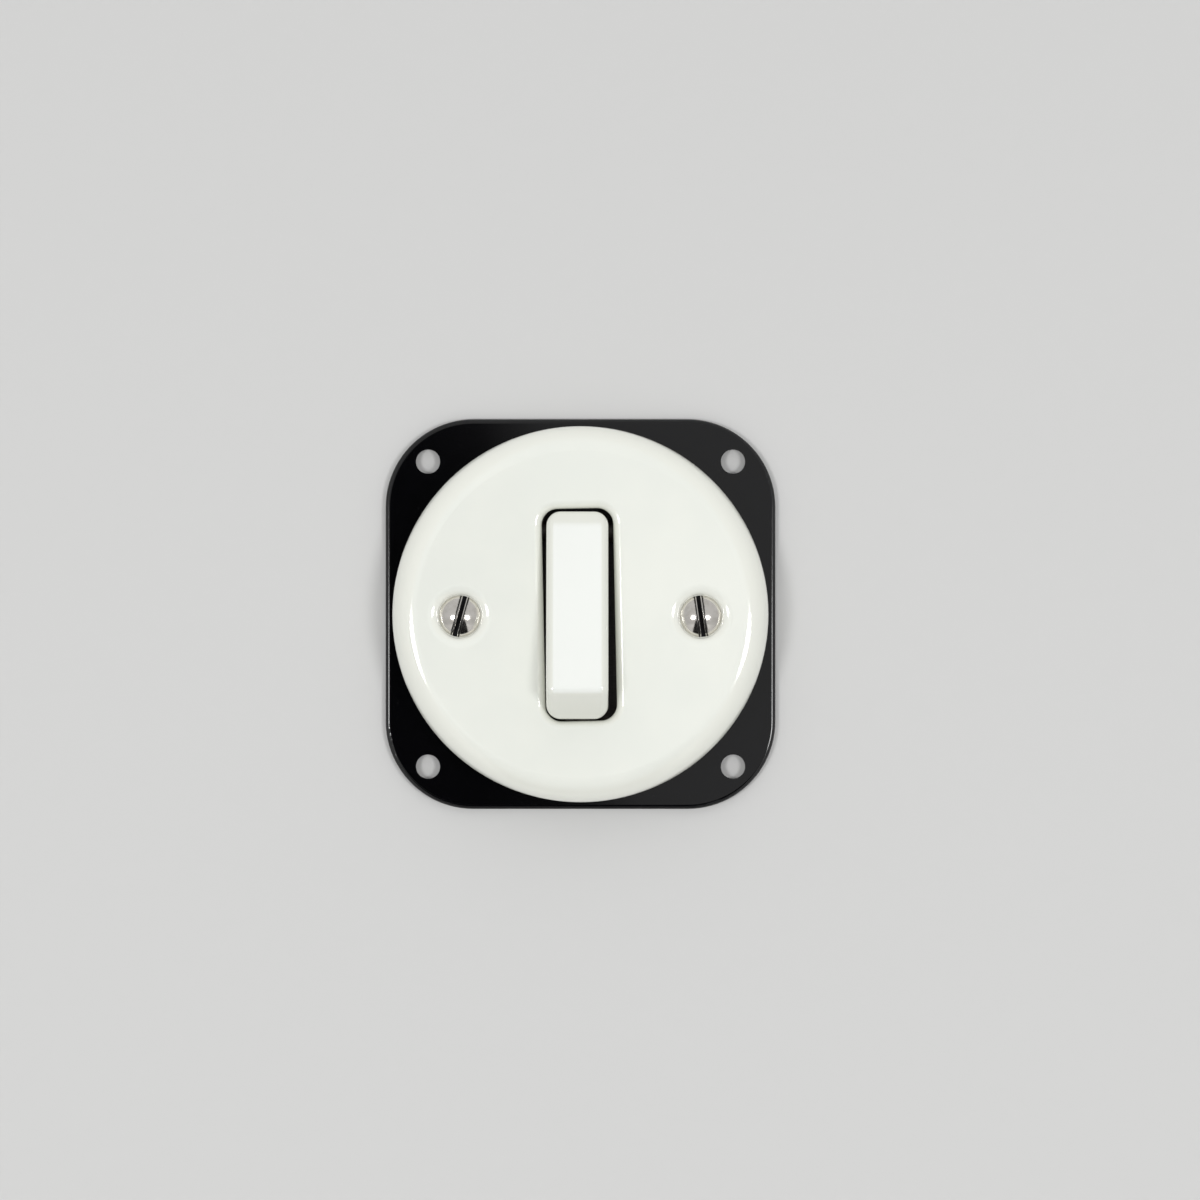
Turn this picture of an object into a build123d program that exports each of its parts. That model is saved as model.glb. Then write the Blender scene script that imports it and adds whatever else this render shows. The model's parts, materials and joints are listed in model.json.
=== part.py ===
"""Round porcelain pushbutton switch on a square black plate, as separate pieces.

Millimetres. The plate's back face lies on the wall at Y = 0, the room is towards -Y and +Z is up.
"""

from build123d import *
import math
import os

os.makedirs("parts", exist_ok=True)

# How far cuts run past what they cut
PAST = 10.0

# Clearances between pieces
RUNNING = 0.03
SLIDING = 0.05
EASY = 0.1
HOLE_PLAY = 0.3

# Plate and its holes
PLATE = 80.0
PLATE_CORNER = 18.0
PLATE_T = 2.0
PLATE_EDGE = 0.9
FIXING_INSET = 8.7
FIXING_R = 2.5
FIXING = PLATE / 2 - FIXING_INSET

# Cover
COVER_INSET = 1.6
COVER_R = PLATE / 2 - COVER_INSET
COVER_H = 10.0
COVER_T = 4.0
COVER_WALL = 4.4
ROLL = 5.2
INNER_ROUND = 3.0
FOOT_ROUND = 0.5
FACE_Y = -PLATE_T - COVER_H
CEILING_Y = FACE_Y + COVER_T
HOLLOW_R = COVER_R - COVER_WALL

# Slot in the cover, leaning a little as it does on a hand-finished cover
SLOT_W = 14.5
SLOT_H = 43.2
SLOT_CORNER = 3.25
SLOT_X = -0.2
SLOT_Z = -0.1
SLOT_LEAN = 1.2
SLOT_ROUND = 1.7
SLOT_DRAFT = 12.0
THROAT_Y = FACE_Y + SLOT_ROUND + EASY
DRAFT_GROWTH = math.tan(math.radians(SLOT_DRAFT)) * (CEILING_Y - THROAT_Y)

# Cover screws, and the dished seats they sit in
SCREW_Z = -0.4
SCREW_R = 2.0
HEAD_R = 4.2
HEAD_EDGE = 0.2
HEAD_SINK = 1.1
HEAD_DOME = 1.8
DRIVE_W = 1.0
DRIVE_DEPTH = 1.9
DRIVE_LEAN = {"left": -14.8, "right": 7.7}
SEAT_LIP = 0.25
SEAT_ROUND = 2.1
BOSS_WALL = 2.7

# Support ring on the plate's front
RING_GAP = 1.0
RING_T = 1.2
RING_R = HOLLOW_R - RING_GAP
RING_Y = -PLATE_T - RING_T
BUSH_R = 3.5
BUSH_TAIL_R = 2.9
BUSH_STAND = 1.95
RIVET_INSET = 3.6
RIVET_R = 1.5
RIVET_HEAD_R = 2.4
RIVET_DOME = 1.0

# Button, with its rise above the cover's face at its corners
BUTTON_SIDE_GAP = 0.95
BUTTON_TOP_GAP = 0.6
BUTTON_END_GAP = 0.4
BUTTON_SHIFT = -0.4
BUTTON_CORNER = 2.9
BUTTON_ROUND = 1.7
TOP_EDGE_RISE = 0.3
TOP_RISE = 2.3
LOW_RISE = 7.0
LOW_EDGE_RISE = -0.1
TOP_SLOPE = 2.8
LOW_SLOPE = 5.5
BUTTON_WALL = 1.8
BUTTON_X = SLOT_X + BUTTON_SHIFT
BUTTON_W = SLOT_W - 2 * BUTTON_SIDE_GAP
BUTTON_TOP = SLOT_Z + SLOT_H / 2 - BUTTON_TOP_GAP
BUTTON_BOTTOM = SLOT_Z - SLOT_H / 2 + BUTTON_END_GAP
SKIRT_Y = CEILING_Y + 0.4

# Pin, hub and ears that the button tilts on, under the cover's ceiling, and the ring's opening
TILT = 6.2
PIN_R = 1.25
PIN_DROP = 3.9
EAR_GAP = 0.4
ROOM = RING_Y - CEILING_Y
PIN_RISE = 0.375 * ROOM
PIN_Y = RING_Y - PIN_RISE
PIN_Z = BUTTON_TOP - PIN_DROP
EAR_R = ROOM - PIN_RISE - EAR_GAP
EAR_FOOT = EAR_R + 0.6
HUB_R = EAR_R - 0.4
OPENING_X = SLOT_W / 2 + 0.65
OPENING_TOP = PIN_Z + 4.0
TOE_END = SLOT_Z - SLOT_H / 2 - 1.9
OPENING_BOTTOM = TOE_END - 1.2
PIN_END = OPENING_X + RING_T + 1.1
CLIP_T = 0.4
CLIP_R = PIN_RISE - EASY
CLIP_X = OPENING_X + RING_T + 0.4

# Insert base through the plate's window
BASE_X = 20.0
BASE_Z = 22.0
BASE_CORNER = 8.0
BASE_BACK = 22.0
WINDOW_GAP = 0.4
SCREW_X = BASE_X + WINDOW_GAP + BUSH_TAIL_R + 1.2
RIVET_X = BASE_X + WINDOW_GAP + 3.6
RIVET_Z = math.sqrt((RING_R - RIVET_INSET) ** 2 - RIVET_X**2)
COLLAR_R = 2.4
COLLAR_H = 1.8
BASE_SCREW_X = PIN_END + 0.4 + COLLAR_R
BASE_SCREW_Z = BASE_Z - 5.5
BASE_SCREW_R = 1.5
BASE_HEAD_R = 2.9
BASE_HEAD_H = 2.1
COUNTERBORE = 3.2

# Terminals
BLOCK_INSET = 2.6
BLOCK_W = 6.2
BLOCK_Z = 4.2
BLOCK_Y = 8.2
BLOCK_L = 9.6
BLOCK_OUT = BASE_X - BLOCK_INSET
BLOCK_IN = BLOCK_OUT - BLOCK_W
STRIP_BITE = 0.9
WIRE_X = BLOCK_IN + 3.0
WIRE_R = 1.6
WIRE_STOP = 1.6
WIRE_HOLE_R = 2.0
WIRE_FUNNEL_R = 3.2
CLAMP_Y = BLOCK_Y + 3.6
CLAMP_R = 1.5
CLAMP_HEAD_R = 2.3
CLAMP_HEAD_H = 1.6

# Plunger and contacts, all about one line at this height
LINE_Z = -3.0
ARM = PIN_Z - LINE_Z
TRAVEL = math.radians(TILT) * ARM
FOOT_Y = RING_Y - 3.4
FOOT_R = 1.8
STEM_R = 3.0
CHAMBER_Y = 3.0
SHOULDER_R = 4.3
SHOULDER_T = 1.0
SHOULDER_GAP = 0.2
BODY_X = 3.4
BODY_Z = 3.4
BODY_L = 8.2
TAIL_R = 1.9
TAIL_L = 4.2
BRIDGE_X = BLOCK_IN - 2.4
BRIDGE_Z = 1.9
BRIDGE_T = 0.8
BRIDGE_SPRING_L = 2.7
CONTACT_X = BRIDGE_X - 1.8
MOVING_R = 1.4
MOVING_HEAD = 0.8
MOVING_SHANK = 0.7
FIXED_R = 1.5
FIXED_HEAD = 0.55
FIXED_SHANK = 0.8
CONTACT_GAP = 0.09
STRIP_T = 1.0
STRIP_Z = 2.2
STRIP_IN = CONTACT_X - 1.8
SHOULDER_Y = CHAMBER_Y + SHOULDER_GAP
BODY_END = SHOULDER_Y + SHOULDER_T + BODY_L
PORT_END = BODY_END - 1.95
BRIDGE_Y = PORT_END - SLIDING - BRIDGE_T
PORT_Y = BRIDGE_Y - BRIDGE_SPRING_L
MOVING_END = BRIDGE_Y + BRIDGE_T + MOVING_HEAD
FIXED_Y = MOVING_END + TRAVEL + CONTACT_GAP
STRIP_Y = FIXED_Y + FIXED_HEAD
FIXED_END = STRIP_Y + STRIP_T + 0.3
SPRING_R = 2.65
SPRING_WIRE = 0.3

# Back cover
BACK_COVER_T = 1.5
BACK_COVER_W = 2 * (BLOCK_IN - 0.7)
BACK_COVER_H = 23.0
BACK_COVER_CORNER = 2.0
BACK_COVER_Z = LINE_Z + 0.5
BACK_SCREW_R = 1.2
BACK_SCREW_L = 8.0
BACK_SCREW_INSET = 2.6
BACK_HEAD_R = 2.2
BACK_HEAD_H = 1.2
BACK_SCREW_UP = BACK_COVER_Z + BACK_COVER_H / 2 - BACK_SCREW_INSET
BACK_SCREW_LOW = BACK_COVER_Z - BACK_COVER_H / 2 + BACK_SCREW_INSET
BACK_SCREWS = {"upper": (BACK_SCREW_UP, 20), "lower": (BACK_SCREW_LOW, -35)}
BACK_COVER_Y = BASE_BACK - BACK_COVER_T
PILOT_R = 2.0
PILOT_L = 1.1


# Shared helpers
def facing(y):
    """The plane at depth y that faces the room, with X to the right and Z up."""
    return Plane.XZ.offset(-y)


def slab(outline, front, back):
    """An outline in X and Z, thick from front to back."""
    return extrude(facing(back) * outline, back - front)


def cross_slab(outline, left, right):
    """An outline in Y and Z, thick from left to right."""
    return extrude(Plane.YZ.offset(left) * outline, right - left)


def polygon(*corners):
    return make_face(Polyline(*corners, close=True))


def turned(corners, x=0.0, z=0.0):
    """A round piece about a line along Y, from corners given as radius and y."""
    return Pos(x, 0, z) * revolve(polygon(*corners), Axis.Y)


def rod(radius, front, back, x=0.0, z=0.0):
    """A plain cylinder along Y."""
    return slab(Pos(x, z) * Circle(radius), front, back)


def cross_rod(radius, left, right, y, z):
    """A plain cylinder along X."""
    return cross_slab(Pos(y, z) * Circle(radius), left, right)


def box(x, y, z):
    """A block from three pairs of limits."""
    size = [high - low for low, high in (x, y, z)]
    middle = [(high + low) / 2 for low, high in (x, y, z)]
    return Pos(*middle) * Box(*size)


def block(side, x, y, half_z):
    """A block on one side of the switch, about the contact line."""
    return box(sorted((side * x[0], side * x[1])), y, (LINE_Z - half_z, LINE_Z + half_z))


def coil(radius, wire, turns, front, back):
    """A compression spring on the contact line whose wire just reaches both ends."""
    height = back - front - 2 * wire
    path = Helix(pitch=height / turns, height=height, radius=radius)
    section = Plane(path @ 0, z_dir=path % 0) * Circle(wire)
    spring = sweep(section, path, is_frenet=True)
    return Pos(0, front + wire, LINE_Z) * Rot(-90, 0, 0) * spring


def slotted_screw(radius, head_r, head_h, length):
    """A cheese-headed screw: the shank runs from 0 to -length along Y, the head stands at +Y."""
    edge = 0.3
    screw = turned(
        [
            (0, -length),
            (radius - edge, -length),
            (radius, -length + edge),
            (radius, 0),
            (head_r, 0),
            (head_r, head_h - edge),
            (head_r - edge, head_h),
            (0, head_h),
        ]
    )
    return screw - box((-0.35, 0.35), (head_h / 2, head_h + 1), (-head_r - 1, head_r + 1))


def rivet_places():
    """Name and place of each rivet that holds the ring to the plate."""
    places = {}
    for level, up in (("upper", 1), ("lower", -1)):
        for name, side in (("left", -1), ("right", 1)):
            places[level + "_" + name] = (side * RIVET_X, up * RIVET_Z)
    return places


def save(name, shape):
    export_step(shape, "parts/" + name + ".step")


# Mounting plate
def mounting_plate():
    plate = slab(RectangleRounded(PLATE, PLATE, PLATE_CORNER), -PLATE_T, 0)
    plate = fillet(plate.faces().sort_by(Axis.Y)[0].edges(), PLATE_EDGE)
    window = RectangleRounded(
        2 * (BASE_X + WINDOW_GAP), 2 * (BASE_Z + WINDOW_GAP), BASE_CORNER + WINDOW_GAP
    )
    plate -= slab(window, -PLATE_T - 1, 1)
    for x in (-FIXING, FIXING):
        for z in (-FIXING, FIXING):
            plate -= rod(FIXING_R, -PLATE_T - 1, 1, x, z)
    hole = RIVET_R + RUNNING
    sink = hole + PLATE_T / 2
    for x, z in rivet_places().values():
        corners = [(0, -PLATE_T - 1), (hole, -PLATE_T - 1), (hole, -PLATE_T / 2), (sink, 0), (sink, 1), (0, 1)]
        plate -= turned(corners, x, z)
    return plate


# Porcelain cover
def cover_shell():
    foot = -PLATE_T
    roll_r = COVER_R - ROLL
    inner_r = HOLLOW_R - INNER_ROUND
    flare = 0.6
    outer = (
        Line((0, FACE_Y), (roll_r, FACE_Y))
        + CenterArc((roll_r, FACE_Y + ROLL), ROLL, -90, 90)
        + Line((COVER_R, FACE_Y + ROLL), (COVER_R, foot - FOOT_ROUND))
        + CenterArc((COVER_R - FOOT_ROUND, foot - FOOT_ROUND), FOOT_ROUND, 0, 90)
        + Line((COVER_R - FOOT_ROUND, foot), (HOLLOW_R + flare, foot))
    )
    inner = (
        Line((HOLLOW_R + flare, foot), (HOLLOW_R, foot - 2 * flare))
        + Line((HOLLOW_R, foot - 2 * flare), (HOLLOW_R, CEILING_Y + INNER_ROUND))
        + CenterArc((inner_r, CEILING_Y + INNER_ROUND), INNER_ROUND, 0, -90)
        + Line((inner_r, CEILING_Y), (0, CEILING_Y))
        + Line((0, CEILING_Y), (0, FACE_Y))
    )
    return revolve(make_face(outer + inner), Axis.Y)


def slot_outline(grow=0.0):
    shape = RectangleRounded(SLOT_W + 2 * grow, SLOT_H + 2 * grow, SLOT_CORNER + grow)
    return Pos(SLOT_X, SLOT_Z) * Rot(0, 0, SLOT_LEAN) * shape


def screw_seat(x):
    """The dished, rounded funnel that a cover screw sits in."""
    throat_r = HEAD_R + SEAT_LIP
    mouth_r = throat_r + SEAT_ROUND
    hole_r = SCREW_R + HOLE_PLAY
    throat_y = FACE_Y + HEAD_SINK + HEAD_EDGE - SEAT_LIP + SLIDING
    hole_y = throat_y + throat_r - hole_r
    above = FACE_Y - 2
    below = CEILING_Y + COVER_H
    mouth = EllipticalCenterArc(
        (mouth_r, throat_y), SEAT_ROUND, throat_y - FACE_Y, 180, arc_size=90
    )
    edge = (
        Line((0, above), (mouth_r, above))
        + Line((mouth_r, above), (mouth_r, FACE_Y))
        + mouth
        + Line((throat_r, throat_y), (hole_r, hole_y))
        + Line((hole_r, hole_y), (hole_r, below))
        + Line((hole_r, below), (0, below))
        + Line((0, below), (0, above))
    )
    return Pos(x, 0, SCREW_Z) * revolve(make_face(edge), Axis.Y)


def porcelain_cover():
    cover = cover_shell()
    boss_y = RING_Y - BUSH_STAND - SLIDING
    for x in (-SCREW_X, SCREW_X):
        cover += rod(SCREW_R + HOLE_PLAY + BOSS_WALL, CEILING_Y - 1, boss_y, x, SCREW_Z)
    cover -= slab(slot_outline(), FACE_Y - 1, THROAT_Y)
    cover -= loft(
        [facing(THROAT_Y) * slot_outline(), facing(CEILING_Y) * slot_outline(DRAFT_GROWTH)]
    )
    face = cover.faces().filter_by(Axis.Y).sort_by(Axis.Y)[0]
    cover = fillet(face.inner_wires()[0].edges(), SLOT_ROUND)
    for x in (-SCREW_X, SCREW_X):
        cover -= screw_seat(x)
    return cover


# Cover screws
def cover_screw(x, lean):
    """A slotted screw with a domed, countersunk head."""
    rim_y = FACE_Y + HEAD_SINK
    top_y = rim_y - HEAD_DOME
    neck_y = rim_y + HEAD_EDGE + HEAD_R - SCREW_R
    end_y = -PLATE_T - 0.4
    dome_r = (HEAD_R**2 + HEAD_DOME**2) / (2 * HEAD_DOME)
    half_angle = math.degrees(math.asin(HEAD_R / dome_r))
    body = (
        CenterArc((0, top_y + dome_r), dome_r, -90, half_angle)
        + Line((HEAD_R, rim_y), (HEAD_R, rim_y + HEAD_EDGE))
        + Line((HEAD_R, rim_y + HEAD_EDGE), (SCREW_R, neck_y))
        + Line((SCREW_R, neck_y), (SCREW_R, end_y - 0.4))
        + Line((SCREW_R, end_y - 0.4), (SCREW_R - 0.4, end_y))
        + Line((SCREW_R - 0.4, end_y), (0, end_y))
        + Line((0, end_y), (0, top_y))
    )
    screw = revolve(make_face(body), Axis.Y)
    drive = Rot(0, 0, lean) * Rectangle(DRIVE_W, 3 * HEAD_R)
    screw -= slab(drive, top_y - 1, top_y + DRIVE_DEPTH)
    return Pos(x, 0, SCREW_Z) * screw


# Button
def button_corners():
    """The sharp corners of the button's side view as Y and Z, from its top skirt round to its lower one."""
    return [
        (SKIRT_Y, BUTTON_TOP),
        (FACE_Y - TOP_EDGE_RISE, BUTTON_TOP),
        (FACE_Y - TOP_RISE, BUTTON_TOP - TOP_SLOPE),
        (FACE_Y - LOW_RISE, BUTTON_BOTTOM + LOW_SLOPE),
        (FACE_Y - LOW_EDGE_RISE, BUTTON_BOTTOM),
        (SKIRT_Y, BUTTON_BOTTOM),
    ]


def button_inside(shrink):
    """The button's side view shrunk all round, but open past its skirt."""
    corners = button_corners()
    corners[0] = (PIN_Y + shrink, BUTTON_TOP)
    corners[-1] = (PIN_Y + shrink, BUTTON_BOTTOM)
    return offset(polygon(*corners), -shrink, kind=Kind.INTERSECTION)


def on_button_outline(point):
    """Whether a point lies on the button's rounded outline as seen from the front."""
    over_x = abs(point.X - BUTTON_X) - (BUTTON_W / 2 - BUTTON_CORNER)
    middle = (BUTTON_TOP + BUTTON_BOTTOM) / 2
    over_z = abs(point.Z - middle) - ((BUTTON_TOP - BUTTON_BOTTOM) / 2 - BUTTON_CORNER)
    reach = math.hypot(max(over_x, 0), max(over_z, 0))
    return abs(reach - BUTTON_CORNER) < 0.02


def push_button():
    corners = button_corners()
    side = polygon(*corners)
    for corner, radius in ((corners[2], 4.0), (corners[3], 2.2)):
        point = side.vertices().sort_by_distance((*corner, 0))[0]
        side = fillet(point, radius)
    left = BUTTON_X - BUTTON_W / 2
    right = BUTTON_X + BUTTON_W / 2
    button = cross_slab(side, left, right)
    middle = (BUTTON_TOP + BUTTON_BOTTOM) / 2
    outline = RectangleRounded(BUTTON_W, BUTTON_TOP - BUTTON_BOTTOM, BUTTON_CORNER)
    button &= slab(Pos(BUTTON_X, middle) * outline, FACE_Y - LOW_RISE - 5, SKIRT_Y)
    front_loop = [
        e
        for e in button.edges()
        if on_button_outline(e @ 0.5) and abs((e % 0.5).Y) < 0.98 and (e @ 0.5).Y < CEILING_Y
    ]
    button = fillet(front_loop, BUTTON_ROUND)
    return button - cross_slab(button_inside(BUTTON_WALL), left + BUTTON_WALL, right - BUTTON_WALL)


# Carrier inside the button, with its hub on the pin
def carrier_toe():
    """The hook that stops under the cover's ceiling, seen from the side."""
    lip_y = CEILING_Y + EASY
    arm_y = CEILING_Y + 0.5
    back_y = arm_y + 0.8
    root_z = BUTTON_BOTTOM + BUTTON_WALL + 2.2
    return polygon(
        (SKIRT_Y - 2, root_z),
        (SKIRT_Y - 2, root_z - 2.0),
        (arm_y, root_z - 2.0),
        (arm_y, TOE_END + 1.2),
        (lip_y, TOE_END + 1.0),
        (lip_y, TOE_END),
        (back_y, TOE_END),
        (back_y, root_z),
    )


def button_carrier():
    shrink = BUTTON_WALL + EASY
    left = BUTTON_X - BUTTON_W / 2 + shrink
    right = BUTTON_X + BUTTON_W / 2 - shrink
    carrier = cross_slab(button_inside(shrink), left, right)
    limit = polygon(
        (FACE_Y - PAST, BUTTON_TOP),
        (PIN_Y, BUTTON_TOP),
        (PIN_Y, PIN_Z - HUB_R),
        (SKIRT_Y - EASY, PIN_Z - HUB_R - 1.6),
        (SKIRT_Y - EASY, BUTTON_BOTTOM),
        (FACE_Y - PAST, BUTTON_BOTTOM),
    )
    carrier &= cross_slab(limit, left, right)
    web = 1.2
    channel = button_inside(shrink + web)
    middle = polygon(
        (FACE_Y - PAST, PIN_Z - HUB_R - 1.6),
        (0, PIN_Z - HUB_R - 1.6),
        (0, BUTTON_BOTTOM + shrink + 0.9),
        (FACE_Y - PAST, BUTTON_BOTTOM + shrink + 0.9),
    )
    carrier -= cross_slab(channel & middle, left + web, right - web)
    root_y = FACE_Y - TOP_RISE
    foot = Pos(FOOT_Y - FOOT_R, LINE_Z) * Circle(FOOT_R)
    foot += polygon(
        (FOOT_Y - FOOT_R, LINE_Z - FOOT_R),
        (root_y, LINE_Z - FOOT_R),
        (root_y, LINE_Z + FOOT_R),
        (FOOT_Y - FOOT_R, LINE_Z + FOOT_R),
    )
    carrier += cross_slab(foot, left + web / 2, right - web / 2)
    carrier += cross_slab(carrier_toe(), BUTTON_X - 2.5, BUTTON_X + 2.5)
    carrier += cross_rod(HUB_R, -OPENING_X + SLIDING, OPENING_X - 1.25, PIN_Y, PIN_Z)
    return carrier - cross_rod(PIN_R + RUNNING, -PIN_END, PIN_END, PIN_Y, PIN_Z)


def pivot_pin():
    pin = cross_rod(PIN_R, -PIN_END, PIN_END, PIN_Y, PIN_Z)
    pin = chamfer(pin.edges(), PIN_R / 5)
    groove_w = CLIP_T + EASY
    for x in (-CLIP_X, CLIP_X):
        groove = cross_rod(2 * PIN_R, x - groove_w / 2, x + groove_w / 2, PIN_Y, PIN_Z)
        pin -= groove - cross_rod(PIN_R - HOLE_PLAY, x - 1, x + 1, PIN_Y, PIN_Z)
    return pin


def pin_clip(x):
    """A snap ring in the pin's groove at x, open towards the room."""
    clip = cross_rod(CLIP_R, x - CLIP_T / 2, x + CLIP_T / 2, PIN_Y, PIN_Z)
    clip -= cross_rod(PIN_R - HOLE_PLAY + RUNNING, x - 1, x + 1, PIN_Y, PIN_Z)
    return clip - box((x - 1, x + 1), (PIN_Y - 3, PIN_Y), (PIN_Z - 0.7, PIN_Z + 0.7))


# Support ring
def support_ring():
    ring = rod(RING_R, RING_Y, -PLATE_T)
    middle = (OPENING_TOP + OPENING_BOTTOM) / 2
    opening = RectangleRounded(2 * OPENING_X, OPENING_TOP - OPENING_BOTTOM, 2.0)
    ring -= slab(Pos(0, middle) * opening, RING_Y - 1, 0)
    ear = Pos(PIN_Y, PIN_Z) * Circle(EAR_R)
    ear += polygon(
        (PIN_Y, PIN_Z - EAR_R),
        (PIN_Y, PIN_Z + EAR_R),
        (RING_Y + RING_T / 2, PIN_Z + EAR_FOOT),
        (RING_Y + RING_T / 2, PIN_Z - EAR_FOOT),
    )
    for left in (-OPENING_X - RING_T, OPENING_X):
        ring += cross_slab(ear, left, left + RING_T)
    ring -= cross_rod(PIN_R + RUNNING, -PIN_END, PIN_END, PIN_Y, PIN_Z)
    for side in (-1, 1):
        x, z = side * BASE_SCREW_X, side * BASE_SCREW_Z
        ring += rod(COLLAR_R, RING_Y - COLLAR_H, -PLATE_T, x, z)
        ring -= rod(BASE_SCREW_R + RUNNING, RING_Y - 5, 0, x, z)
        ring -= rod(BUSH_TAIL_R + RUNNING, RING_Y - 1, 0, side * SCREW_X, SCREW_Z)
    for x, z in rivet_places().values():
        ring -= rod(RIVET_R + RUNNING, RING_Y - 1, 0, x, z)
    return ring


def ring_rivet(x, z):
    """A domed rivet through the ring and plate, its tail spread in the plate's back."""
    dome_r = (RIVET_HEAD_R**2 + RIVET_DOME**2) / (2 * RIVET_DOME)
    half_angle = math.degrees(math.asin(RIVET_HEAD_R / dome_r))
    spread = PLATE_T / 2 - EASY
    edge = (
        CenterArc((0, RING_Y - RIVET_DOME + dome_r), dome_r, -90, half_angle)
        + Line((RIVET_HEAD_R, RING_Y), (RIVET_R, RING_Y))
        + Line((RIVET_R, RING_Y), (RIVET_R, -PLATE_T / 2))
        + Line((RIVET_R, -PLATE_T / 2), (RIVET_R + spread, -EASY))
        + Line((RIVET_R + spread, -EASY), (0, -EASY))
        + Line((0, -EASY), (0, RING_Y - RIVET_DOME))
    )
    return Pos(x, 0, z) * revolve(make_face(edge), Axis.Y)


def cover_bush(x):
    """The threaded bush that a cover screw runs into."""
    bore = SCREW_R + RUNNING
    top = RING_Y - BUSH_STAND
    corners = [
        (bore, top),
        (BUSH_R - 0.3, top),
        (BUSH_R, top + 0.3),
        (BUSH_R, RING_Y),
        (BUSH_TAIL_R, RING_Y),
        (BUSH_TAIL_R, -PLATE_T - SLIDING),
        (bore, -PLATE_T - SLIDING),
    ]
    return turned(corners, x, SCREW_Z)


# Insert base
def insert_base():
    outline = RectangleRounded(2 * BASE_X, 2 * BASE_Z, BASE_CORNER)
    base = slab(outline, -PLATE_T, BASE_BACK)
    base = fillet(base.faces().sort_by(Axis.Y)[-1].edges(), 1.2)
    far = BASE_BACK + 5
    base -= rod(STEM_R + SLIDING, -PLATE_T - 1, CHAMBER_Y + 1, 0, LINE_Z)
    well = SHOULDER_R + WINDOW_GAP
    base -= box((-well, well), (CHAMBER_Y, far), (LINE_Z - well, LINE_Z + well))
    base -= box(
        (-BRIDGE_X - 0.7, BRIDGE_X + 0.7),
        (BRIDGE_Y - 0.6, far),
        (LINE_Z - BRIDGE_Z - 0.5, LINE_Z + BRIDGE_Z + 0.5),
    )
    recess = RectangleRounded(
        BACK_COVER_W + HOLE_PLAY, BACK_COVER_H + HOLE_PLAY, BACK_COVER_CORNER + HOLE_PLAY / 2
    )
    base -= slab(Pos(0, BACK_COVER_Z) * recess, BACK_COVER_Y, far)
    for z, _ in BACK_SCREWS.values():
        base -= rod(BACK_SCREW_R + RUNNING, BASE_BACK - BACK_SCREW_L - 0.5, far, 0, z)
    pocket_y = (BLOCK_Y - 0.2, BLOCK_Y + BLOCK_L + 0.2)
    slot_y = (STRIP_Y - EASY, STRIP_Y + STRIP_T + EASY)
    funnel = WIRE_FUNNEL_R - WIRE_HOLE_R
    for side in (-1, 1):
        base -= block(side, (BLOCK_IN - 0.2, BASE_X + 5), pocket_y, BLOCK_Z + HOLE_PLAY)
        base -= block(side, (BRIDGE_X, BLOCK_IN + 1), slot_y, STRIP_Z + 0.2)
        wire_hole = [
            (0, pocket_y[1] - 1),
            (WIRE_HOLE_R, pocket_y[1] - 1),
            (WIRE_HOLE_R, BASE_BACK - funnel),
            (WIRE_FUNNEL_R, BASE_BACK),
            (WIRE_FUNNEL_R, far),
            (0, far),
        ]
        base -= turned(wire_hole, side * WIRE_X, LINE_Z)
        x, z = side * BASE_SCREW_X, side * BASE_SCREW_Z
        base -= rod(BASE_SCREW_R + 0.2, -PLATE_T - 1, far, x, z)
        base -= rod(BASE_HEAD_R + HOLE_PLAY, BASE_BACK - COUNTERBORE, far, x, z)
    return base


def base_screw(side):
    length = BASE_BACK - COUNTERBORE - (RING_Y - COLLAR_H) - 0.2
    screw = slotted_screw(BASE_SCREW_R, BASE_HEAD_R, BASE_HEAD_H, length)
    place = Pos(side * BASE_SCREW_X, BASE_BACK - COUNTERBORE, side * BASE_SCREW_Z)
    return place * Rot(0, side * 25, 0) * screw


def back_cover():
    """The laminate lid, with a pilot for the spring and two lugs that hold the strips."""
    outline = RectangleRounded(BACK_COVER_W, BACK_COVER_H, BACK_COVER_CORNER)
    cover = slab(Pos(0, BACK_COVER_Z) * outline, BACK_COVER_Y, BASE_BACK)
    cover += rod(PILOT_R, BACK_COVER_Y - PILOT_L, BACK_COVER_Y + 0.5, 0, LINE_Z)
    for side in (-1, 1):
        lug_y = (FIXED_END + EASY, BACK_COVER_Y + 0.5)
        cover += block(side, (STRIP_IN + 0.4, BRIDGE_X + 0.4), lug_y, BRIDGE_Z + 0.2)
    for z, _ in BACK_SCREWS.values():
        cover -= rod(BACK_SCREW_R + 0.15, BACK_COVER_Y - 1, BASE_BACK + 1, 0, z)
    return cover


def back_cover_screw(z, turn):
    screw = slotted_screw(BACK_SCREW_R, BACK_HEAD_R, BACK_HEAD_H, BACK_SCREW_L)
    return Pos(0, BASE_BACK, z) * Rot(0, turn, 0) * screw


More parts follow.
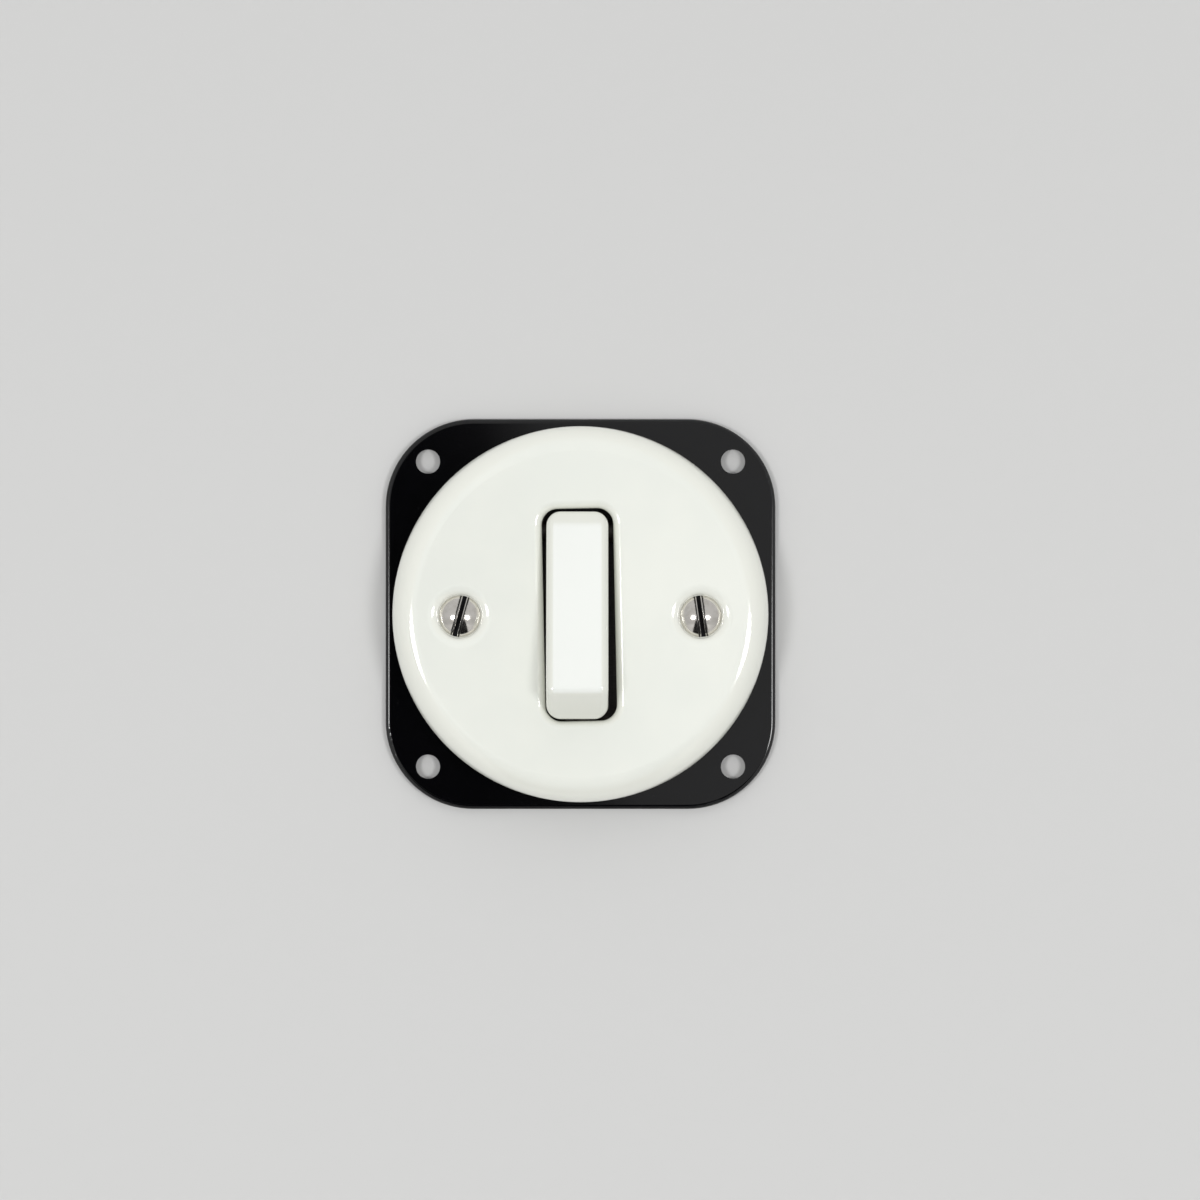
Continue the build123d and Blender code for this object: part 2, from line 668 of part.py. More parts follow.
# Plunger and contacts
def plunger():
    tip_y = FOOT_Y + EASY
    crown = 1.1
    crown_r = (STEM_R**2 + crown**2) / (2 * crown)
    half_angle = math.degrees(math.asin(STEM_R / crown_r))
    body_y = SHOULDER_Y + SHOULDER_T
    stem = (
        CenterArc((0, tip_y + crown_r), crown_r, -90, half_angle)
        + Line((STEM_R, tip_y + crown), (STEM_R, SHOULDER_Y))
        + Line((STEM_R, SHOULDER_Y), (SHOULDER_R, SHOULDER_Y))
        + Line((SHOULDER_R, SHOULDER_Y), (SHOULDER_R, body_y))
        + Line((SHOULDER_R, body_y), (0, body_y))
        + Line((0, body_y), (0, tip_y))
    )
    piece = Pos(0, 0, LINE_Z) * revolve(make_face(stem), Axis.Y)
    piece += box((-BODY_X, BODY_X), (body_y - 0.1, BODY_END), (LINE_Z - BODY_Z, LINE_Z + BODY_Z))
    port_z = BRIDGE_Z + 0.2
    piece -= box((-BODY_X - 1, BODY_X + 1), (PORT_Y, PORT_END), (LINE_Z - port_z, LINE_Z + port_z))
    piece += rod(0.9, PORT_Y - 0.1, PORT_Y + 0.9, 0, LINE_Z)
    piece += rod(TAIL_R, BODY_END - 0.1, BODY_END + TAIL_L, 0, LINE_Z)
    return piece


def contact_bridge():
    outline = RectangleRounded(2 * BRIDGE_X, 2 * BRIDGE_Z, 1.2)
    bridge = slab(Pos(0, LINE_Z) * outline, BRIDGE_Y, BRIDGE_Y + BRIDGE_T)
    for x in (-CONTACT_X, CONTACT_X):
        bridge -= rod(MOVING_SHANK + RUNNING, BRIDGE_Y - 1, MOVING_END, x, LINE_Z)
    return bridge


def moving_contact(x):
    """A rivet contact set in the bridge."""
    seat = BRIDGE_Y + BRIDGE_T
    corners = [
        (0, BRIDGE_Y - EASY),
        (MOVING_SHANK, BRIDGE_Y - EASY),
        (MOVING_SHANK, seat),
        (MOVING_R, seat),
        (MOVING_R, MOVING_END - 0.2),
        (MOVING_R - 0.3, MOVING_END),
        (0, MOVING_END),
    ]
    return turned(corners, x, LINE_Z)


def contact_strip(side):
    """The flat strip from the fixed contact to its terminal block."""
    strip = block(side, (STRIP_IN, BLOCK_IN + STRIP_BITE), (STRIP_Y, STRIP_Y + STRIP_T), STRIP_Z)
    return strip - rod(FIXED_SHANK + RUNNING, STRIP_Y - 1, FIXED_END, side * CONTACT_X, LINE_Z)


def fixed_contact(x):
    corners = [
        (0, FIXED_Y),
        (FIXED_R - 0.3, FIXED_Y),
        (FIXED_R, FIXED_Y + 0.2),
        (FIXED_R, STRIP_Y),
        (FIXED_SHANK, STRIP_Y),
        (FIXED_SHANK, FIXED_END),
        (0, FIXED_END),
    ]
    return turned(corners, x, LINE_Z)


def terminal_block(side):
    """A brass block with a wire hole from the back and a clamp screw from its side."""
    brass = block(side, (BLOCK_IN, BLOCK_OUT), (BLOCK_Y, BLOCK_Y + BLOCK_L), BLOCK_Z)
    brass = chamfer(brass.edges(), 0.3)
    brass -= rod(WIRE_R, BLOCK_Y + WIRE_STOP, BASE_BACK, side * WIRE_X, LINE_Z)
    bite_y = (STRIP_Y - RUNNING, STRIP_Y + STRIP_T + RUNNING)
    brass -= block(side, (BLOCK_IN - 1, BLOCK_IN + STRIP_BITE + EASY), bite_y, STRIP_Z + SLIDING)
    ends = sorted((side * WIRE_X, side * (BLOCK_OUT + 1)))
    return brass - cross_rod(CLAMP_R + RUNNING, ends[0], ends[1], CLAMP_Y, LINE_Z)


def terminal_screw(side):
    length = BLOCK_OUT - WIRE_X - WIRE_R - EASY
    screw = slotted_screw(CLAMP_R, CLAMP_HEAD_R, CLAMP_HEAD_H, length)
    return Pos(side * BLOCK_OUT, CLAMP_Y, LINE_Z) * Rot(0, 0, -90 * side) * screw


save("mounting_plate", mounting_plate())
save("porcelain_cover", porcelain_cover())
save("push_button", push_button())
save("button_carrier", button_carrier())
save("pivot_pin", pivot_pin())
save("support_ring", support_ring())
save("insert_base", insert_base())
save("back_cover", back_cover())
save("plunger", plunger())
save("contact_bridge", contact_bridge())
save("return_spring", coil(SPRING_R, SPRING_WIRE, 5, BODY_END, BACK_COVER_Y))
save("contact_spring", coil(1.4, 0.2, 3, PORT_Y, BRIDGE_Y))
for name, side in (("left", -1), ("right", 1)):
    save("cover_screw_" + name, cover_screw(side * SCREW_X, DRIVE_LEAN[name]))
    save("cover_bush_" + name, cover_bush(side * SCREW_X))
    save("pin_clip_" + name, pin_clip(side * CLIP_X))
    save("base_screw_" + name, base_screw(side))
    save("moving_contact_" + name, moving_contact(side * CONTACT_X))
    save("fixed_contact_" + name, fixed_contact(side * CONTACT_X))
    save("contact_strip_" + name, contact_strip(side))
    save("terminal_block_" + name, terminal_block(side))
    save("terminal_screw_" + name, terminal_screw(side))
for name, (x, z) in rivet_places().items():
    save("ring_rivet_" + name, ring_rivet(x, z))
for name, (z, turn) in BACK_SCREWS.items():
    save("back_cover_screw_" + name, back_cover_screw(z, turn))
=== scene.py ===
"""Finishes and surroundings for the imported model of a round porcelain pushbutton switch.

Sizes and places are in millimetres, in the part's own frame: the wall is the plane Y = 0, the
room is towards -Y and +Z is up. The scale and depth of shader patterns are in metres.
"""

import json
import math

import bmesh
import bpy
from mathutils import Matrix, Vector

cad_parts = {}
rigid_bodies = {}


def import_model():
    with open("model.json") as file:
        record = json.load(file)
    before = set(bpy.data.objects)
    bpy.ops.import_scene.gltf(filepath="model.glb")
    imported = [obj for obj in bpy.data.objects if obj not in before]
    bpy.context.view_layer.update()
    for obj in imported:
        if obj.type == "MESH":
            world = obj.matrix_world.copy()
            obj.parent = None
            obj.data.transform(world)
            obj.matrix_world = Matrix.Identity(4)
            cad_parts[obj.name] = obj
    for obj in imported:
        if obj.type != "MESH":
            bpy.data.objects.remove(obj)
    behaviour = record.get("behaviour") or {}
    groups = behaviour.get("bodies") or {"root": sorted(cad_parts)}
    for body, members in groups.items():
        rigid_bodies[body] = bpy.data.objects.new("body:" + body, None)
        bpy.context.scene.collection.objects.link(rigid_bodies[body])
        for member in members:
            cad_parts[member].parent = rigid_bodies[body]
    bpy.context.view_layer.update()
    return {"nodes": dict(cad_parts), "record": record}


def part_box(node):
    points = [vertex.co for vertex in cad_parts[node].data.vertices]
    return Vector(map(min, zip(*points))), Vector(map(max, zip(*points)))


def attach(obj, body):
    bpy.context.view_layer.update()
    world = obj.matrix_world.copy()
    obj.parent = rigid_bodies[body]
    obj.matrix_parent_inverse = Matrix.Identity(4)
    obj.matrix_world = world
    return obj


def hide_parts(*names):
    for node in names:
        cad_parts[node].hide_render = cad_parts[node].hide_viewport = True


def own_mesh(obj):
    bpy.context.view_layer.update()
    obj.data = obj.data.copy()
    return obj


MM = 0.001
TO_ROOM = (0, -1, 0)
UPWARDS = (0, 0, 1)

# Camera: straight ahead of the switch, which sits left of and below the picture's centre
PHOTO_PX = 1200
PLATE_PX_PER_MM = 4.875
PLATE_THICKNESS = 2.0
CAMERA_DISTANCE = 1000.0
CAMERA_X = 4.0
CAMERA_Z = 2.9
SENSOR = 36.0

# Meshes
MERGE_DISTANCE = 1e-7
SHARP_ANGLE = 50.0

# Cover screws, with the CAD model's sizes; y counts from the head's rim
HEAD_R = 4.2
HEAD_EDGE = 0.2
HEAD_DOME = 1.8
SHANK_R = 2.0
SHANK_END = 8.5
DOME_STEPS = 24
SCREW_STEPS = 96
DRIVE_W = 1.0
DRIVE_DEPTH = 1.9
DRIVE_LEAN = {"cover_screw_left": -14.8, "cover_screw_right": 7.7}
CUT_PAST = 1.0
WEAR = 0.14
WEAR_STEPS = 3
WEAR_ANGLE = 35.0

# Painted shade: black within a screw's slot and in a stripe beside it, by the distance from the
# slot's middle
SLOT_BLACK_EDGE = 0.4
BAND_START = (0.6, 0.66)
BAND_END = (0.85, 1.05)
BAND_RAGGED = 0.35
BAND_DARKNESS = 0.95

# Wall and floor: the wall is open behind the plate, but not behind the fixing holes
WALL_SIZE = 2400.0
OPENING = 79.0
OPENING_CORNER_R = 17.5
FIXING_HOLE = 31.3
FIXING_BACK_R = 3.1
QUARTER_STEPS = 16
BEHIND_PLATE = 0.02
FLOOR_SIZE = 16000.0
FLOOR_Z = -700.0

# Dark mat that only reflections show, as y and half a width of its near and far sides
MAT_NEAR = (-3500.0, 1130.0)
MAT_FAR = (-110.0, 300.0)
MAT_Z = FLOOR_Z + 1.0

# Lamps
LAMP_X = 640.0
LAMP_Y = -1150.0
LAMP_Z = -120.0
LAMP_LEFT_SIZE = (340.0, 270.0)
LAMP_RIGHT_SIZE = (400.0, 270.0)
LAMP_WATTS = 4.75

# Sky: its strengths, then the heights between which it brightens, as parts of a unit vector
SKY = 0.5
ZENITH = 0.9
BACKGROUND = 0.68
ZENITH_RISE = (0.15, 0.9)

# Dark place in the sky, to the left of the camera: its sides and top, as parts of a unit vector
DARK_SLANT = 0.236
DARK_RIGHT = (-0.016, -0.001)
DARK_LEFT = (-0.1, -0.22)
DARK_TOP = (0.06, 0.1)


# Shader building
class Number:
    """A number inside a node tree: Python operators on it add Math nodes."""

    def __init__(self, nodes, socket):
        self.nodes = nodes
        self.socket = socket

    def _math(self, operation, *operands):
        sockets = dict(enumerate(operands))
        made = self.nodes.node("ShaderNodeMath", {"operation": operation}, sockets)
        return Number(self.nodes, made.outputs[0])

    def __add__(self, other):
        return self._math("ADD", self, other)

    def __radd__(self, other):
        return self._math("ADD", other, self)

    def __sub__(self, other):
        return self._math("SUBTRACT", self, other)

    def __rsub__(self, other):
        return self._math("SUBTRACT", other, self)

    def __mul__(self, other):
        return self._math("MULTIPLY", self, other)

    def __rmul__(self, other):
        return self._math("MULTIPLY", other, self)

    def absolute(self):
        return self._math("ABSOLUTE", self)

    def clamp(self):
        """Kept from 0 to 1."""
        low = self._math("MAXIMUM", self, 0.0)
        return low._math("MINIMUM", low, 1.0)

    def step(self, start, end):
        """0 up to start, 1 from end, and smooth between them; start may be above end."""
        made = self.nodes.node(
            "ShaderNodeMapRange",
            {"interpolation_type": "SMOOTHSTEP"},
            {"Value": self, "From Min": start, "From Max": end},
        )
        return Number(self.nodes, made.outputs["Result"])


class Nodes:
    """The empty node tree of a material or a world, with its output."""

    def __init__(self, owner, output):
        owner.use_nodes = True
        self.tree = owner.node_tree
        self.tree.nodes.clear()
        self.output = self.node(output)

    def node(self, kind, settings=None, sockets=None):
        """Adds a node: its settings first, then the values or links of its sockets."""
        made = self.tree.nodes.new(kind)
        for key, value in (settings or {}).items():
            setattr(made, key, value)
        for key, value in (sockets or {}).items():
            self.feed(made.inputs[key], value)
        return made

    def feed(self, socket, value):
        """Links a socket or a Number, or sets a plain value."""
        if isinstance(value, Number):
            self.tree.links.new(value.socket, socket)
        elif isinstance(value, bpy.types.NodeSocket):
            self.tree.links.new(value, socket)
        elif socket.type == "RGBA" and len(value) == 3:
            socket.default_value = (*value, 1.0)
        else:
            socket.default_value = value

    def surface(self, shader):
        """Shows a node's shader."""
        self.feed(self.output.inputs["Surface"], shader.outputs[0])

    def mix_shader(self, amount, low, high):
        """A node that goes from one node's shader to another's."""
        sockets = {0: amount, 1: low.outputs[0], 2: high.outputs[0]}
        return self.node("ShaderNodeMixShader", {}, sockets)

    def parts(self, vector):
        """The x, y and z of a vector."""
        split = self.node("ShaderNodeSeparateXYZ", {}, {0: vector})
        return [Number(self, part) for part in split.outputs]


class Finish(Nodes):
    """One material around a Principled shader."""

    def __init__(self, name):
        self.material = bpy.data.materials.new(name)
        super().__init__(self.material, "ShaderNodeOutputMaterial")
        self.shader = self.node("ShaderNodeBsdfPrincipled")
        self.surface(self.shader)
        coordinates = self.node("ShaderNodeTexCoord").outputs
        self.place = coordinates["Object"]
        self.normal = coordinates["Normal"]

    def set(self, **values):
        """Sets the shader's sockets, with underscores for the spaces in their names."""
        for key, value in values.items():
            self.feed(self.shader.inputs[key.replace("_", " ")], value)

    def noise(self, per_metre, detail, roughness=0.5, stretch=(1, 1, 1)):
        """Cloudy numbers from 0 to 1, with so many clouds to a metre."""
        placed = self.node("ShaderNodeMapping", {}, {"Vector": self.place, "Scale": stretch})
        made = self.node(
            "ShaderNodeTexNoise",
            {},
            {
                "Vector": placed.outputs[0],
                "Scale": per_metre,
                "Detail": detail,
                "Roughness": roughness,
            },
        )
        return Number(self, made.outputs["Fac"])

    def blend(self, amount, low, high):
        """A colour from low to high."""
        made = self.node("ShaderNodeMix", {"data_type": "RGBA"})
        self.feed(made.inputs[0], amount)
        self.feed(made.inputs[6], low)
        self.feed(made.inputs[7], high)
        return made.outputs[2]

    def turned_away(self, start, end):
        """0 where the surface faces the room or the wall squarely, and 1 on slopes and edges."""
        _, y, _ = self.parts(self.normal)
        return y.absolute().step(start, end)

    def turned_sideways(self, start, end):
        """0 where the surface leans neither left nor right, and 1 on the flanks."""
        x, _, _ = self.parts(self.normal)
        return x.absolute().step(start, end)

    def bump(self, height, distance, strength):
        """Raises the surface by height, from 0 to 1, times distance."""
        sockets = {"Height": height, "Distance": distance, "Strength": strength}
        made = self.node("ShaderNodeBump", {}, sockets)
        self.set(Normal=made.outputs[0])


# Finishes
def porcelain_glaze(name, low, high, glaze_tint_and_shade):
    """White glaze with faint clouds and a slight waviness in its gloss; a creamy glaze tint and
    painted shade on slopes.
    """
    finish = Finish(name)
    clouds = finish.noise(per_metre=45.0, detail=3.0)
    ripple = finish.noise(per_metre=140.0, detail=1.5)
    white = finish.blend(clouds.step(0.3, 0.7), low, high)
    sloping = finish.turned_away(start=0.985, end=0.8)
    sloping = (sloping + finish.turned_sideways(start=0.08, end=0.3)).clamp()
    finish.set(
        # On slopes and flanks the colour blends to a creamy glaze tint that also carries painted
        # shade
        Base_Color=finish.blend(sloping, white, glaze_tint_and_shade),
        Roughness=0.07 + clouds * 0.05,
        IOR=1.5,
        Coat_Weight=0.6,
        Coat_Roughness=0.03,
    )
    finish.bump(ripple, distance=0.00003, strength=0.5)
    return finish.material


def black_enamel():
    """Glossy black stove enamel with a few dust-fine marks and duller edges."""
    finish = Finish("black_enamel")
    clouds = finish.noise(per_metre=60.0, detail=3.0)
    dust = finish.noise(per_metre=2600.0, detail=2.0).step(0.72, 0.8)
    edge = finish.turned_away(start=0.99, end=0.9)
    finish.set(
        Base_Color=finish.blend(dust * 0.3, (0.0015, 0.0015, 0.002), (0.06, 0.06, 0.06)),
        Roughness=0.04 + clouds * 0.04 + dust * 0.2 + edge * 0.4,
        IOR=1.5,
    )
    return finish.material


def plated(name, colour, roughness, wear=0.0):
    """Plated or bare metal with fine scratches."""
    finish = Finish(name)
    hair = finish.noise(per_metre=900.0, detail=4.0, roughness=0.6, stretch=(1, 6, 1))
    clouds = finish.noise(per_metre=220.0, detail=3.0)
    dull = tuple(c * (1 - 0.35 * wear) for c in colour)
    finish.set(
        Base_Color=finish.blend(clouds.step(0.35, 0.75), colour, dull),
        Metallic=1.0,
        Roughness=roughness + (hair - 0.5) * 0.12 + clouds * 0.06,
    )
    finish.bump(hair, distance=0.000008, strength=0.35)
    return finish.material


def screw_nickel(name, centre, lean):
    """Bright nickel, with painted shade: black within the screwdriver slot and in a stripe along
    each side.
    """
    finish = Finish(name)
    x, _, z = finish.parts(finish.place)
    turn = math.radians(lean)
    from_slot = (x - centre.x) * (math.cos(turn) / MM)
    from_slot = (from_slot + (z - centre.z) * (math.sin(turn) / MM)).absolute()
    ragged = from_slot + (finish.noise(per_metre=2600.0, detail=3.0) - 0.5) * BAND_RAGGED
    # Painted shade: black within the slot and in a ragged stripe along each side of it
    inside = 1 - from_slot.step(SLOT_BLACK_EDGE, DRIVE_W / 2)
    painted_shade_band = from_slot.step(*BAND_START) * (1 - ragged.step(*BAND_END))
    dark = (inside + painted_shade_band * BAND_DARKNESS).clamp()
    clouds = finish.noise(per_metre=700.0, detail=3.0)
    bright = finish.blend(clouds.step(0.35, 0.75), (0.84, 0.81, 0.765), (0.72, 0.69, 0.64))
    finish.set(
        Base_Color=finish.blend(dark, bright, (0.012, 0.012, 0.013)),
        Metallic=1.0,
        Roughness=0.08 + clouds * 0.08 + dark * 0.35,
    )
    finish.bump(clouds, distance=0.00002, strength=0.3)
    return finish.material


def moulded(name, low, high, roughness):
    """Moulded resin or laminate with a fine grain."""
    finish = Finish(name)
    fibre = finish.noise(per_metre=700.0, detail=4.0, roughness=0.6, stretch=(1, 1, 7))
    finish.set(
        Base_Color=finish.blend(fibre.step(0.35, 0.7), low, high),
        Roughness=roughness + fibre * 0.15,
        IOR=1.5,
    )
    finish.bump(fibre, distance=0.00001, strength=0.3)
    return finish.material


def finishes():
    """One material for each material slot of the record."""
    return {
        "plate": black_enamel(),
        "porcelain": porcelain_glaze(
            "cover_glaze", (0.80, 0.82, 0.765), (0.835, 0.85, 0.79), (0.81, 0.82, 0.755)
        ),
        # The button's colour on slopes is darker than its face: painted shade on its flanks,
        # with a creamy glaze tint
        "button": porcelain_glaze(
            "button_white", (0.85, 0.87, 0.835), (0.865, 0.885, 0.85), (0.775, 0.785, 0.72)
        ),
        "nickel": plated("bright_nickel", (0.76, 0.745, 0.72), 0.05),
        "steel": plated("zinc_plate", (0.56, 0.57, 0.59), 0.26, 0.5),
        "spring": plated("spring_wire", (0.5, 0.5, 0.52), 0.24, 0.3),
        "black_steel": plated("blackened_steel", (0.03, 0.03, 0.032), 0.45, 0.2),
        "laminate": moulded("brown_laminate", (0.16, 0.07, 0.03), (0.24, 0.11, 0.05), 0.4),
        "moulding": moulded("dark_resin", (0.035, 0.025, 0.02), (0.06, 0.045, 0.04), 0.35),
        "brass": plated("brass", (0.72, 0.52, 0.22), 0.2, 0.5),
        "contact": plated("silver", (0.82, 0.81, 0.78), 0.22, 0.2),
    }


def pale_paint(name, colour, one_sided=False):
    """Dull paint, which can be clear where it is seen from behind."""
    finish = Finish(name)
    finish.set(Base_Color=colour, Roughness=0.9, Specular_IOR_Level=0.1)
    if one_sided:
        back = finish.node("ShaderNodeNewGeometry").outputs["Backfacing"]
        clear = finish.node("ShaderNodeBsdfTransparent")
        finish.surface(finish.mix_shader(back, finish.shader, clear))
    return finish.material


# Meshes
def taken(work, name):
    """The mesh of a bmesh, which is freed."""
    mesh = bpy.data.meshes.new(name)
    work.to_mesh(mesh)
    work.free()
    return mesh


def shown(name, data):
    """A new object in the scene."""
    made = bpy.data.objects.new(name, data)
    bpy.context.scene.collection.objects.link(made)
    return made


def smooth(mesh):
    """Smooth shading, with the corners kept."""
    mesh.shade_smooth()
    mesh.set_sharp_from_angle(angle=math.radians(SHARP_ANGLE))


# Cover screws
def screw_profile():
    """The dome, rim, countersink and shank of a cover screw, as radius and y."""
    dome_r = (HEAD_R**2 + HEAD_DOME**2) / (2 * HEAD_DOME)
    half_angle = math.asin(HEAD_R / dome_r)
    points = []
    for i in range(DOME_STEPS + 1):
        angle = half_angle * i / DOME_STEPS
        points.append((dome_r * math.sin(angle), dome_r * (1 - math.cos(angle)) - HEAD_DOME))
    neck = HEAD_EDGE + HEAD_R - SHANK_R
    return points + [(HEAD_R, HEAD_EDGE), (SHANK_R, neck), (SHANK_R, SHANK_END), (0, SHANK_END)]


def screw_mesh(name):
    """A cover screw without its slot, spun about the Y axis."""
    work = bmesh.new()
    corners = [work.verts.new((radius * MM, y * MM, 0)) for radius, y in screw_profile()]
    edges = [work.edges.new(pair) for pair in zip(corners, corners[1:])]
    bmesh.ops.spin(
        work,
        geom=corners + edges,
        cent=(0, 0, 0),
        axis=(0, 1, 0),
        angle=2 * math.pi,
        steps=SCREW_STEPS,
    )
    bmesh.ops.remove_doubles(work, verts=work.verts, dist=MERGE_DISTANCE)
    bmesh.ops.recalc_face_normals(work, faces=work.faces)
    return taken(work, name)


def slot_mesh(name):
    """The block that cuts the screwdriver slot, upright along Z and longer than the head."""
    low = -HEAD_DOME - CUT_PAST
    high = -HEAD_DOME + DRIVE_DEPTH
    length = 2 * (HEAD_R + CUT_PAST)
    work = bmesh.new()
    bmesh.ops.create_cube(work, size=1.0)
    bmesh.ops.scale(work, verts=work.verts, vec=(DRIVE_W * MM, (high - low) * MM, length * MM))
    bmesh.ops.translate(work, verts=work.verts, vec=(0, (high + low) / 2 * MM, 0))
    return taken(work, name)


def settled(made):
    """The object's mesh with its modifiers carried out and removed."""
    bpy.context.view_layer.update()
    seen = made.evaluated_get(bpy.context.evaluated_depsgraph_get())
    mesh = bpy.data.meshes.new_from_object(seen)
    made.modifiers.clear()
    return mesh


def cover_screw(node, lean):
    """A polished screw with a slot whose edges are softened by wear."""
    low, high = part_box(node)
    rim_y = high[1] / MM - SHANK_END
    made = shown(node + "_polished", screw_mesh(node + "_polished"))
    cutter = shown("slot_cutter", slot_mesh("slot_cutter"))
    cut = made.modifiers.new("slot", "BOOLEAN")
    cut.operation = "DIFFERENCE"
    cut.object = cutter
    soften = made.modifiers.new("wear", "BEVEL")
    soften.width = WEAR * MM
    soften.segments = WEAR_STEPS
    soften.angle_limit = math.radians(WEAR_ANGLE)
    mesh = settled(made)
    bpy.data.objects.remove(cutter)
    centre = Vector(((low[0] + high[0]) / 2, rim_y * MM, (low[2] + high[2]) / 2))
    mesh.transform(Matrix.Translation(centre) @ Matrix.Rotation(math.radians(-lean), 4, "Y"))
    smooth(mesh)
    mesh.materials.clear()
    mesh.materials.append(screw_nickel(node + "_nickel", centre, lean))
    made.data = mesh
    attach(made, "housing")
    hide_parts(node)


# Return spring
def return_spring(frame, node, material):
    """The CAD model's coil, welded and smoothly shaded, in place of the imported node."""
    work = bmesh.new()
    work.from_mesh(frame["nodes"][node].data)
    bmesh.ops.remove_doubles(work, verts=work.verts, dist=MERGE_DISTANCE)
    mesh = taken(work, node + "_coil")
    smooth(mesh)
    mesh.materials.append(material)
    made = shown(node + "_coil", mesh)
    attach(made, "housing")
    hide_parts(node)
    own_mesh(made)


# Room
def flat_piece(name, corners, faces, material, facing):
    """A flat mesh of the surroundings, whose front looks along the given direction."""
    mesh = bpy.data.meshes.new(name)
    mesh.from_pydata([tuple(c * MM for c in corner) for corner in corners], [], faces)
    mesh.materials.append(material)
    if mesh.polygons[0].normal.dot(Vector(facing)) < 0:
        mesh.flip_normals()
    made = shown(name, mesh)
    return made


def wall_with_opening(material):
    """A wall that ends just under the plate's edge, so that the switch's back stays in view."""
    centre = OPENING / 2 - OPENING_CORNER_R
    ring = []
    for side_x, side_z, first in ((1, 1, 0), (-1, 1, 90), (-1, -1, 180), (1, -1, 270)):
        for i in range(QUARTER_STEPS + 1):
            angle = math.radians(first + 90 * i / QUARTER_STEPS)
            x = side_x * centre + OPENING_CORNER_R * math.cos(angle)
            z = side_z * centre + OPENING_CORNER_R * math.sin(angle)
            ring.append((x, z))
    rim = []
    for x, z in ring:
        reach = WALL_SIZE / 2 / max(abs(x), abs(z))
        rim.append((x * reach, z * reach))
    corners = [(x, BEHIND_PLATE, z) for x, z in ring + rim]
    count = len(ring)
    faces = [(i, (i + 1) % count, count + (i + 1) % count, count + i) for i in range(count)]
    flat_piece("wall", corners, faces, material, TO_ROOM)


def wall_behind_holes(material):
    """The bits of wall that show through the plate's four fixing holes."""
    for name, side_x, side_z in (("a", -1, -1), ("b", 1, -1), ("c", 1, 1), ("d", -1, 1)):
        corners = []
        for i in range(2 * QUARTER_STEPS):
            angle = math.pi * i / QUARTER_STEPS
            x = side_x * FIXING_HOLE + FIXING_BACK_R * math.cos(angle)
            z = side_z * FIXING_HOLE + FIXING_BACK_R * math.sin(angle)
            corners.append((x, BEHIND_PLATE, z))
        flat_piece("wall_" + name, corners, [range(len(corners))], material, TO_ROOM)


def flat_sheet(name, near, far, z, material):
    """A level sheet whose near and far sides are given as y and half a width."""
    (near_y, near_x), (far_y, far_x) = near, far
    corners = [(-near_x, near_y, z), (near_x, near_y, z), (far_x, far_y, z), (-far_x, far_y, z)]
    return flat_piece(name, corners, [range(4)], material, UPWARDS)


def lamp(name, x, size):
    """A soft oval lamp in front of the wall, turned to the switch."""
    data = bpy.data.lights.new(name, "AREA")
    data.shape = "ELLIPSE"
    data.size, data.size_y = (s * MM for s in size)
    data.energy = LAMP_WATTS
    made = shown(name, data)
    place = Vector((x, LAMP_Y, LAMP_Z))
    made.location = place * MM
    made.rotation_euler = (-place).to_track_quat("-Z", "Y").to_euler()


def room():
    """Pale wall and floor, a lamp on each side, and the mat that only reflections show."""
    wall_paint = pale_paint("wall_paint", (0.62, 0.62, 0.615), one_sided=True)
    wall_with_opening(wall_paint)
    wall_behind_holes(wall_paint)
    half = FLOOR_SIZE / 2
    floor_paint = pale_paint("floor_paint", (0.55, 0.55, 0.545))
    flat_sheet("floor", (-half, half), (half, half), FLOOR_Z, floor_paint)
    mat_paint = pale_paint("mat_paint", (0.01, 0.01, 0.01))
    mat = flat_sheet("mat", MAT_NEAR, MAT_FAR, MAT_Z, mat_paint)
    mat.visible_camera = False
    mat.visible_diffuse = False
    mat.visible_shadow = False
    lamp("lamp_left", -LAMP_X, LAMP_LEFT_SIZE)
    lamp("lamp_right", LAMP_X, LAMP_RIGHT_SIZE)


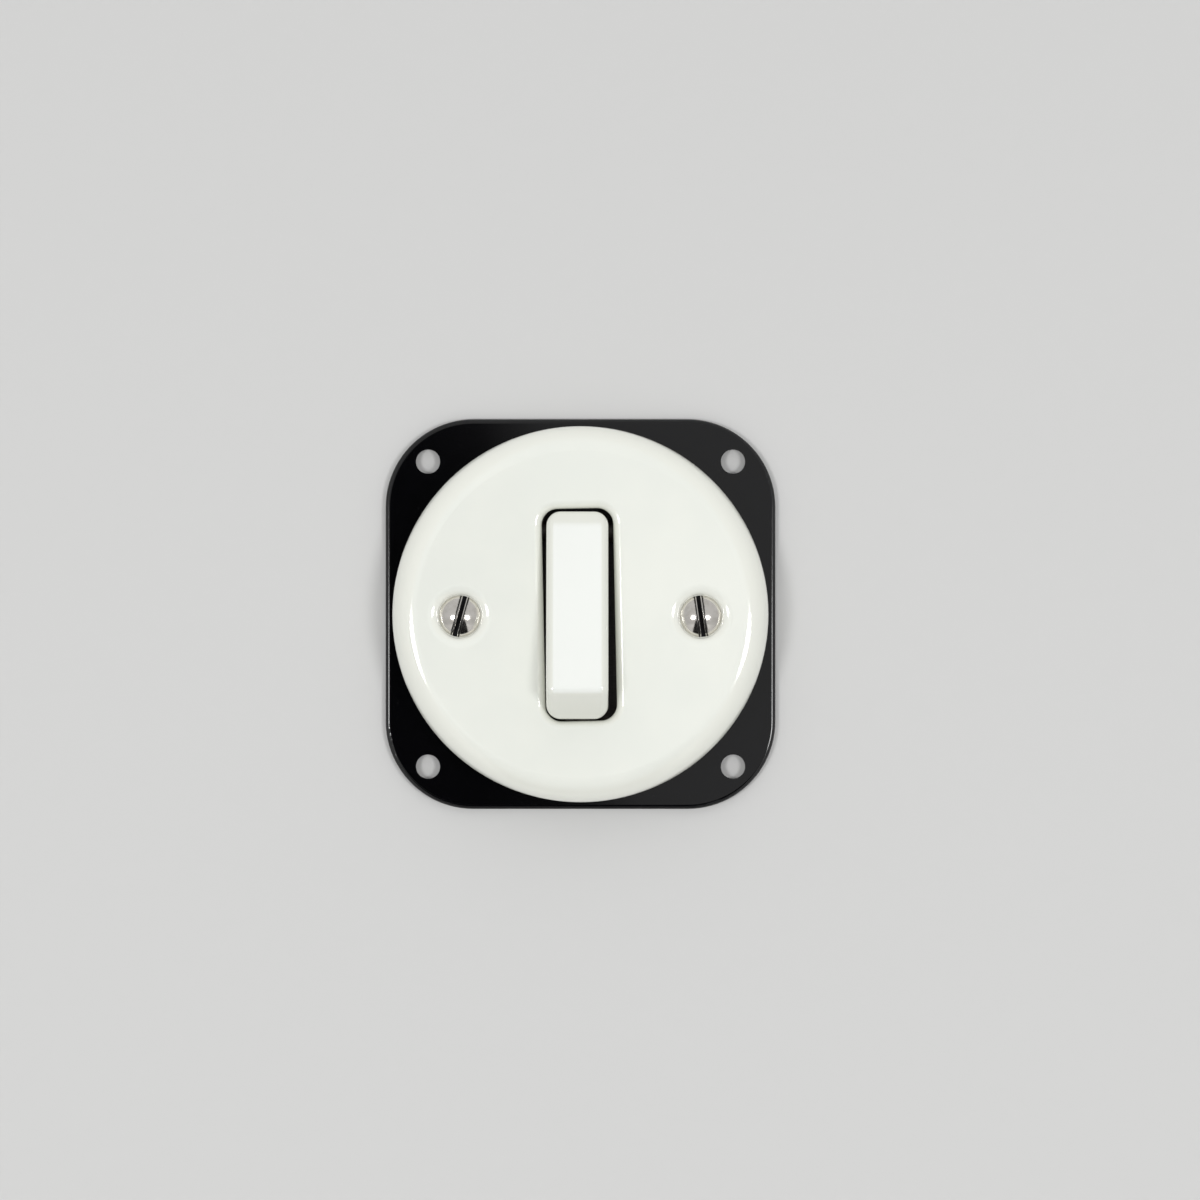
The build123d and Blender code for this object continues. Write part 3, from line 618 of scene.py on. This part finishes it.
def sky():
    """Light from a pale sky, brighter above, that shows as a plain background.

    Reflections also show a dark place in that background, to the left of the camera.
    """
    world = bpy.data.worlds.new("sky")
    nodes = Nodes(world, "ShaderNodeOutputWorld")
    across, _, up = nodes.parts(nodes.node("ShaderNodeTexCoord").outputs["Generated"])
    slanted = across + up * DARK_SLANT
    outside = slanted.step(*DARK_RIGHT) + across.step(*DARK_LEFT) + up.step(*DARK_TOP)
    dark = 1 - outside.clamp()
    rays = nodes.node("ShaderNodeLightPath").outputs
    camera_ray, glossy, clear = (
        Number(nodes, rays[name])
        for name in ("Is Camera Ray", "Is Glossy Ray", "Is Transmission Ray")
    )
    not_lighting = (camera_ray + glossy + clear).clamp()
    strength = SKY + ZENITH * up.step(*ZENITH_RISE)
    light = nodes.node("ShaderNodeBackground", {}, {"Strength": strength})
    strength = BACKGROUND * (1 - dark * glossy)
    background = nodes.node("ShaderNodeBackground", {}, {"Strength": strength})
    nodes.surface(nodes.mix_shader(not_lighting, light, background))
    return world


def camera():
    """The camera, with a lens that gives the plate's front its size in the picture."""
    data = bpy.data.cameras.new("camera")
    data.sensor_width = SENSOR
    plate_distance = CAMERA_DISTANCE - PLATE_THICKNESS
    data.lens = SENSOR * plate_distance * PLATE_PX_PER_MM / PHOTO_PX
    made = shown("camera", data)
    made.location = Vector((CAMERA_X, -CAMERA_DISTANCE, CAMERA_Z)) * MM
    made.rotation_euler = (math.radians(90), 0, 0)
    bpy.context.scene.camera = made


def dress(frame):
    """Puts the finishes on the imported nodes, and adds the screws and the spring."""
    material_of = finishes()
    for part in frame["record"]["subparts"]:
        mesh = frame["nodes"][part["node"]].data
        mesh.materials.clear()
        mesh.materials.append(material_of[part["material_slot"]])
    for node, lean in DRIVE_LEAN.items():
        cover_screw(node, lean)
    return_spring(frame, "return_spring", material_of["spring"])


for leftover in list(bpy.data.objects):
    bpy.data.objects.remove(leftover)
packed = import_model()
dress(packed)
room()
bpy.context.scene.world = sky()
camera()
bpy.context.scene.view_settings.view_transform = "Standard"
